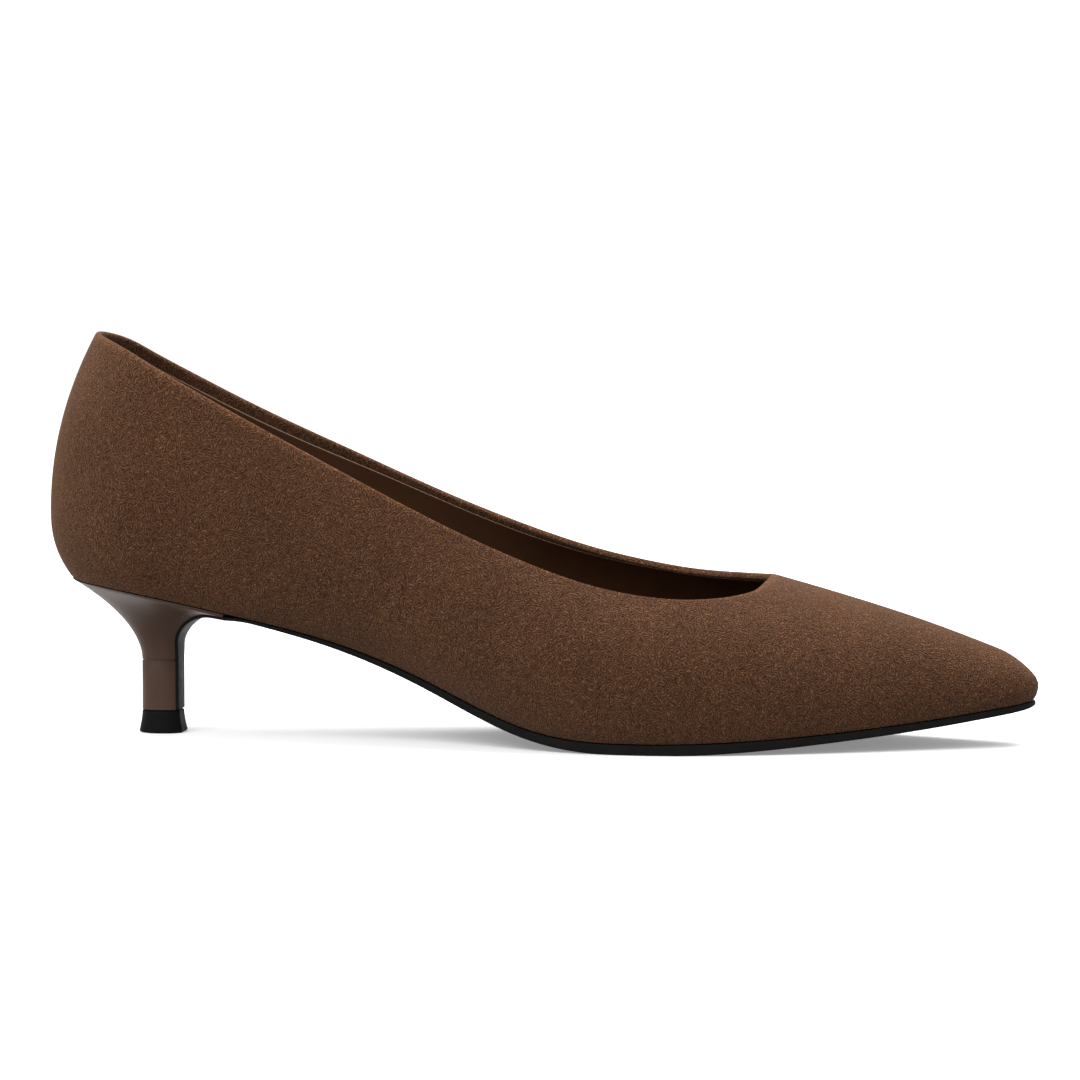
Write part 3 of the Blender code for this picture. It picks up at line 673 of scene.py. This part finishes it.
def breast_stop(share):
    """Stop at a share of the way down the front of the heel."""
    here = share * BREAST_RUN[-1]
    return tuple(float(np.interp(here, BREAST_RUN, column)) for column in zip(*BREAST_LINE))


def flare_width(seat, stem, share):
    return mix(stem, seat, (1 - share) ** FLARE_CURVE)


def corner_width(share, side):
    """Half width of the heel's front at a share of the way down the flare."""
    return flare_width(tread_width(LIP_AT, side), STEM_HALF_WIDTH * STEM_FRONT_SHARE, share)


def sole_section(stop, thickness, outer, inner):
    """Section of the sole: a small round above, and a larger one below, where it is worn."""
    x, z, way_x, way_z = stop
    small = min(SOLE_CORNER, 0.2 * thickness, 0.2 * outer)
    large = min(SOLE_EDGE, 0.45 * thickness, 0.4 * outer)
    ring = []
    corners = (
        (-outer + small, small, small, 180, 90),
        (inner - small, small, small, 90, 0),
        (inner - large, thickness - large, large, 0, -90),
        (-outer + large, thickness - large, large, -90, -180),
    )
    for y, depth, radius, first, last in corners:
        for step in range(5):
            angle = math.radians(mix(first, last, step / 4))
            y_here = y + radius * math.cos(angle)
            depth_here = depth - radius * math.sin(angle)
            ring.append((x + way_x * depth_here, y_here, max(z + way_z * depth_here, 0.0)))
    return ring


sole_rings = []
for step in range(SOLE_SECTIONS):
    share = 1 - math.cos(math.pi / 2 * (step + 0.35) / SOLE_SECTIONS)
    x = mix(TREAD_TIP + SOLE_PROUD, JOIN_AT, share)
    proud = SOLE_PROUD * rounding((x - JOIN_AT) / SEAT_ROUND)
    widths = (tread_width(x, OUTER, -proud), tread_width(x, INNER, -proud))
    thin = TOE_THINNING * (1 - rounding((TREAD_TIP + SOLE_PROUD - x) / TOE_THIN_OVER))
    sole_rings.append(sole_section(under_tread(x), sole_thickness(x) * (1 - thin), *widths))
for step in range(LIP_SECTIONS):
    stop = under_lip(LIP_SHARE * step / LIP_SECTIONS)
    thickness = mix(sole_thickness(JOIN_AT), FLAP_THICKNESS, step / LIP_SECTIONS)
    widths = (tread_width(stop[0], OUTER), tread_width(stop[0], INNER))
    sole_rings.append(sole_section(stop, thickness, *widths))
for stop, here in zip(BREAST_LINE, BREAST_RUN):
    share = here / BREAST_RUN[-1]
    widths = (corner_width(share, OUTER), corner_width(share, INNER))
    sole_rings.append(sole_section(stop, FLAP_THICKNESS, *widths))
end = (BREAST_AT, TIP_HEIGHT + GAP, 1.0, 0.0)
widths = (corner_width(1, OUTER), corner_width(1, INNER))
sole_rings.append(sole_section(end, FLAP_THICKNESS, *widths))
leather_sole = make_loft("leather_sole", sole_rings)

# Sole leather, inked black and waxed: smooth, with faint scuffs along it and a soft polish.
sole_leather, tree, shader = new_finish("waxed_black_sole_leather")
place = add(tree, "ShaderNodeTexCoord").outputs["Object"]
stretched = add(tree, "ShaderNodeMapping", {"Vector": place, "Scale": (0.35, 1.0, 1.0)}).outputs[0]
scuff = add(tree, "ShaderNodeTexNoise", {
    "Vector": stretched, "Scale": 420.0, "Detail": 5.0, "Roughness": 0.6,
}).outputs["Fac"]
pore = add(tree, "ShaderNodeTexNoise", {"Vector": place, "Scale": 2600.0, "Detail": 2.0}).outputs["Fac"]
base = add(tree, "ShaderNodeMix", {
    "Factor": scuff, 6: colour("#0B0B0B"), 7: colour("#1B1A19"),
}, data_type="RGBA").outputs[2]
polish = add(tree, "ShaderNodeMapRange", {
    "Value": scuff, "From Min": 0.3, "From Max": 0.7, "To Min": 0.44, "To Max": 0.58,
}).outputs[0]
relief = add(tree, "ShaderNodeBump", {
    "Height": pore, "Strength": 0.15, "Distance": 0.00006,
}).outputs[0]
tree.links.new(base, shader.inputs["Base Color"])
tree.links.new(polish, shader.inputs["Roughness"])
tree.links.new(relief, shader.inputs["Normal"])
shader.inputs["Specular IOR Level"].default_value = 0.02
leather_sole.data.materials.append(sole_leather)
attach(leather_sole, "root")
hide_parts("outsole")


# Heel. Moulded in one piece of taupe ABS to match the suede, hollowed to the seat and fixed from
# inside. A fine line is moulded round the top of its stem.

CEMENT_LINE = 0.00003       # between the front of the heel and the flap cemented to it
GROOVE_DEPTH = 0.00022
GROOVE_HEIGHT = 0.0006
FLARE_START = 0.02
HEEL_SIDE, HEEL_FRONT, HEEL_FLARE = 40, 10, 44

heel_places = [1 - math.cos(math.pi / 2 * j / HEEL_SIDE) for j in range(HEEL_SIDE + 1)]


def stem_width(place, front_share=STEM_FRONT_SHARE):
    """Half width of the stem at a share of the way from its back to its front."""
    past = max(place - STEM_ROUND_SHARE, 0.0) / (1 - STEM_ROUND_SHARE)
    taper = 1 - (1 - front_share) * past ** 3
    return STEM_HALF_WIDTH * rounding(place / STEM_ROUND_SHARE) * taper


def heel_ring(point):
    """Ring around the heel, from the middle of its back along the outer side and back again."""
    ring = [point(place, OUTER) for place in heel_places]
    outer_corner = point(1.0, OUTER)
    inner_corner = point(1.0, INNER)
    for step in range(1, HEEL_FRONT):
        y = mix(outer_corner[1], inner_corner[1], step / HEEL_FRONT)
        ring.append((outer_corner[0], y, outer_corner[2]))
    ring += [point(place, INNER) for place in reversed(heel_places[1:])]
    return ring


def seat_point(place, side):
    x = mix(TREAD_BACK, LIP_AT, place)
    return (x, side * tread_width(x, side), tread_height(x) - GAP)


def flare_ring(share):
    """Ring of the flare, from the seat, share 0, to the top of the stem, share 1."""
    front_x, front_z, way_x, way_z = breast_stop(share)
    front_x -= CEMENT_LINE * way_x
    front_z -= CEMENT_LINE * way_z
    seat_z = tread_height(TREAD_BACK) - GAP
    back_x = mix(STEM_BACK_AT, TREAD_BACK, (1 - share) ** BACK_CURVE)
    back_z = mix(seat_z, STEM_HEIGHT, share)

    def point(place, side):
        seat_x = mix(TREAD_BACK, LIP_AT, place)
        width = flare_width(tread_width(seat_x, side), stem_width(place), share)
        straight = mix(seat_z, tread_height(LIP_AT) - GAP, place)
        bow = (tread_height(seat_x) - GAP - straight) * (1 - share) ** 2
        return (mix(back_x, front_x, place), side * width, mix(back_z, front_z, place) + bow)

    return heel_ring(point)


def stem_ring(z, inset=0.0, front=BREAST_AT - CEMENT_LINE, front_share=STEM_FRONT_SHARE):
    """Level ring of the stem, drawn in by inset, or let out where inset is negative."""
    back = STEM_BACK_AT + inset
    scale = 1 - inset / STEM_HALF_WIDTH

    def point(place, side):
        y = side * stem_width(place, front_share) * scale
        return (mix(back, front - inset, place), y, z)

    return heel_ring(point)


heel_rings = [heel_ring(seat_point)]
heel_rings += [flare_ring(mix(FLARE_START, 1.0, step / HEEL_FLARE)) for step in range(HEEL_FLARE + 1)]
for part in (0.25, 0.5, 0.75):
    depth = GROOVE_DEPTH * math.sin(math.pi * part)
    heel_rings.append(stem_ring(STEM_HEIGHT - GROOVE_HEIGHT * part, depth))
heel_rings.append(stem_ring(STEM_HEIGHT - GROOVE_HEIGHT))
heel_rings.append(stem_ring(mix(STEM_HEIGHT, TIP_HEIGHT, 0.5)))
heel_rings.append(stem_ring(TIP_HEIGHT + GAP))
heel_rings.reverse()
moulded_heel = make_loft("moulded_heel", heel_rings, math.radians(50))

# Moulded ABS, lacquered taupe: a smooth satin skin with a very faint orange peel.
abs_skin, tree, shader = new_finish("lacquered_taupe_abs")
place = add(tree, "ShaderNodeTexCoord").outputs["Object"]
peel = add(tree, "ShaderNodeTexNoise", {"Vector": place, "Scale": 900.0, "Detail": 2.0}).outputs["Fac"]
cloud = add(tree, "ShaderNodeTexNoise", {"Vector": place, "Scale": 120.0, "Detail": 3.0}).outputs["Fac"]
base = add(tree, "ShaderNodeMix", {
    "Factor": cloud, 6: colour("#3F2F27"), 7: colour("#46362E"),
}, data_type="RGBA").outputs[2]
polish = add(tree, "ShaderNodeMapRange", {
    "Value": cloud, "From Min": 0.3, "From Max": 0.7, "To Min": 0.42, "To Max": 0.48,
}).outputs[0]
relief = add(tree, "ShaderNodeBump", {
    "Height": peel, "Strength": 0.03, "Distance": 0.00005,
}).outputs[0]
tree.links.new(base, shader.inputs["Base Color"])
tree.links.new(polish, shader.inputs["Roughness"])
tree.links.new(relief, shader.inputs["Normal"])
shader.inputs["Specular IOR Level"].default_value = 0.06
moulded_heel.data.materials.append(abs_skin)
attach(moulded_heel, "root")
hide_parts("heel")


# Top lift. Cast black polyurethane, pinned to the end of the stem. It spreads a little towards the
# floor, and its lower edge is rounded by wear.

TIP_FLARE = 0.0008
TIP_ROUND = 0.0005
TIP_FRONT_SHARE = 0.56      # its front is flat over this share, between rounded corners
TIP_TOP_INSET = 0.00012

front = BREAST_AT + FLAP_THICKNESS
tip_rings = []
for angle in (0, 22, 45, 68, 90):
    turn = math.radians(angle)
    inset = TIP_ROUND * (1 - math.sin(turn)) - TIP_FLARE
    z = TIP_ROUND * (1 - math.cos(turn))
    tip_rings.append(stem_ring(z, inset, front, TIP_FRONT_SHARE))
for part in (0.2, 0.4, 0.6, 0.8, 0.97):
    spread_here = TIP_FLARE * (1 - part) ** 1.5
    z = mix(TIP_ROUND, TIP_HEIGHT, part)
    tip_rings.append(stem_ring(z, -spread_here, front, TIP_FRONT_SHARE))
tip_rings.append(stem_ring(TIP_HEIGHT, TIP_TOP_INSET, front, TIP_FRONT_SHARE))
top_lift = make_loft("heel_top_lift", tip_rings, math.radians(75))

# Cast polyurethane: a dull black with a fine moulded skin.
rubber, tree, shader = new_finish("cast_black_polyurethane")
place = add(tree, "ShaderNodeTexCoord").outputs["Object"]
skin_grain = add(tree, "ShaderNodeTexNoise", {
    "Vector": place, "Scale": 1800.0, "Detail": 3.0,
}).outputs["Fac"]
base = add(tree, "ShaderNodeMix", {
    "Factor": skin_grain, 6: colour("#080808"), 7: colour("#131313"),
}, data_type="RGBA").outputs[2]
relief = add(tree, "ShaderNodeBump", {
    "Height": skin_grain, "Strength": 0.2, "Distance": 0.00005,
}).outputs[0]
tree.links.new(base, shader.inputs["Base Color"])
tree.links.new(relief, shader.inputs["Normal"])
shader.inputs["Roughness"].default_value = 0.55
shader.inputs["Specular IOR Level"].default_value = 0.03
top_lift.data.materials.append(rubber)
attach(top_lift, "root")
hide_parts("top_lift")


# Studio. A wide white paper floor under a bright, even sky, one large soft light overhead, a
# smaller one high in front towards the heel, and the camera at the photograph's height and angle.

FLOOR_HALF = 40.0
mesh = bpy.data.meshes.new("paper_floor")
mesh.from_pydata(
    [(-FLOOR_HALF, -FLOOR_HALF, 0), (FLOOR_HALF, -FLOOR_HALF, 0),
     (FLOOR_HALF, FLOOR_HALF, 0), (-FLOOR_HALF, FLOOR_HALF, 0)],
    [], [(0, 1, 2, 3)],
)
floor = bpy.data.objects.new("paper_floor", mesh)
bpy.context.scene.collection.objects.link(floor)
paper, tree, shader = new_finish("white_background_paper")
shader.inputs["Base Color"].default_value = colour("#DDDDDD")
shader.inputs["Roughness"].default_value = 0.9
shader.inputs["Specular IOR Level"].default_value = 0.1
shader.inputs["Emission Color"].default_value = (1.0, 1.0, 1.0, 1.0)
shader.inputs["Emission Strength"].default_value = 0.23
floor.data.materials.append(paper)
floor.visible_diffuse = False

# The sky is white from the horizon up, and dims below it, so that little light comes from under.
world = bpy.data.worlds.new("studio")
bpy.context.scene.world = world
world.use_nodes = True
sky = world.node_tree
way = add(sky, "ShaderNodeTexCoord").outputs["Generated"]
height = add(sky, "ShaderNodeSeparateXYZ", {"Vector": way}).outputs["Z"]
glow = add(sky, "ShaderNodeMapRange", {
    "Value": height, "From Min": -0.3, "From Max": -0.02, "To Min": 0.6, "To Max": 1.1,
}).outputs[0]
sky.nodes["Background"].inputs["Color"].default_value = (1.0, 1.0, 1.0, 1.0)
sky.links.new(glow, sky.nodes["Background"].inputs["Strength"])


def add_light(name, place, target, size, power):
    lamp = bpy.data.lights.new(name, "AREA")
    lamp.shape = "RECTANGLE"
    lamp.size, lamp.size_y = size
    lamp.energy = power
    light = bpy.data.objects.new(name, lamp)
    light.location = place
    way = Vector(target) - Vector(place)
    light.rotation_euler = way.to_track_quat("-Z", "Y").to_euler()
    bpy.context.scene.collection.objects.link(light)


add_light("key", (0.15, 0.42, 1.45), (0.02, 0.0, 0.05), (1.7, 1.4), 38.0)
add_light("front", (-0.7, -1.1, 1.2), (0.0, 0.0, 0.05), (1.0, 1.0), 25.0)

AZIMUTH, ELEVATION = math.radians(8.0), math.radians(4.0)
DISTANCE = 1.2
SENSOR = 36.0
FOCAL, PICTURE = 4512, 1080             # focal length and width of the picture, in pixels
TARGET = Vector((0.00015, 0.00275, 0.0527))
back = Vector((
    math.sin(AZIMUTH) * math.cos(ELEVATION),
    -math.cos(AZIMUTH) * math.cos(ELEVATION),
    math.sin(ELEVATION),
))
lens = bpy.data.cameras.new("camera")
lens.sensor_width = SENSOR
lens.lens = SENSOR * FOCAL / PICTURE
lens.clip_start, lens.clip_end = 0.05, 50.0
camera = bpy.data.objects.new("camera", lens)
camera.location = TARGET + back * DISTANCE
camera.rotation_euler = (-back).to_track_quat("-Z", "Y").to_euler()
bpy.context.scene.collection.objects.link(camera)
bpy.context.scene.camera = camera
bpy.context.scene.view_settings.view_transform = "Standard"
